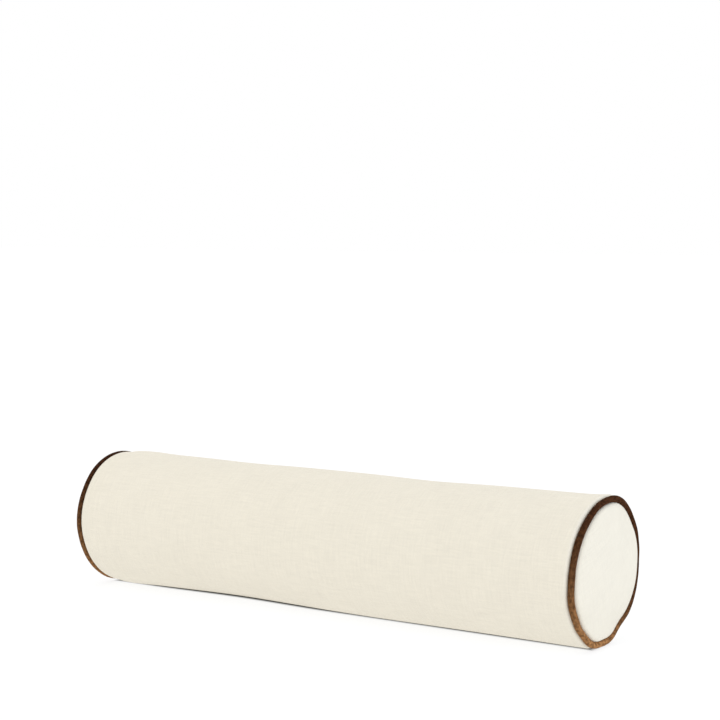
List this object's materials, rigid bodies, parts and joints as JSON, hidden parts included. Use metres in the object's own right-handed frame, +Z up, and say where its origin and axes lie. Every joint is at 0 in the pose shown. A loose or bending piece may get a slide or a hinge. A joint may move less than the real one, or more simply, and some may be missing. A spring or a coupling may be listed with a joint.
{
  "type": "bolster pillow",
  "caption": "Long round bolster pillow in a removable linen cover with velvet piping round both ends and a zip along its back, over a foam insert.",
  "frame": {"origin": "on the floor, under the middle of the pillow", "axes": "+X along the pillow towards the end that the zip closes at, +Y towards its back, where the zip is, +Z up"},
  "size_m": [0.95, 0.222, 0.22],
  "materials": {
    "linen": "matte",
    "velvet": "satin",
    "cotton_cord": "matte",
    "cream_thread": "satin",
    "white_thread": "satin",
    "label_satin": "satin",
    "zip_tape": "matte",
    "zip_nylon": "satin",
    "zip_metal": "satin",
    "ticking": "matte",
    "wadding": "matte",
    "foam": "matte"
  },
  "bodies": {
    "pillow": {"cover_body_panel": "linen", "cover_end_panel_left": "linen", "cover_end_panel_right": "linen", "piping_sleeve_left": "velvet", "piping_sleeve_right": "velvet", "piping_cord_left": "cotton_cord", "piping_cord_right": "cotton_cord", "end_seam_thread_left": "cream_thread", "end_seam_thread_right": "cream_thread", "care_label": "label_satin", "zip_tape_upper": "zip_tape", "zip_tape_lower": "zip_tape", "zip_coil_upper": "zip_nylon", "zip_coil_lower": "zip_nylon", "zip_top_stops": "zip_metal", "zip_bottom_stop": "zip_metal", "zip_topstitch": "cream_thread", "back_seam_thread_left": "cream_thread", "back_seam_thread_right": "cream_thread", "insert_case_body": "ticking", "insert_case_end_left": "ticking", "insert_case_end_right": "ticking", "insert_end_thread_left": "white_thread", "insert_end_thread_right": "white_thread", "insert_closing_thread": "white_thread", "wadding_wrap": "wadding", "wadding_end_left": "wadding", "wadding_end_right": "wadding", "foam_core": "foam"},
    "slider": {"zip_slider": "zip_metal"},
    "pull_tab": {"zip_pull_tab": "zip_metal"}
  },
  "joints": [
    {"name": "zip_slide", "type": "slide", "parent": "pillow", "child": "slider", "axis": [-1, 0, 0], "range_m": [0, 0.74]},
    {"name": "pull_tab_hinge", "type": "hinge", "parent": "slider", "child": "pull_tab", "pos_m": [0.37025, 0.10408, 0.15105], "axis": [0, 0.3746, -0.9272], "range_deg": [0, 170]}
  ]
}
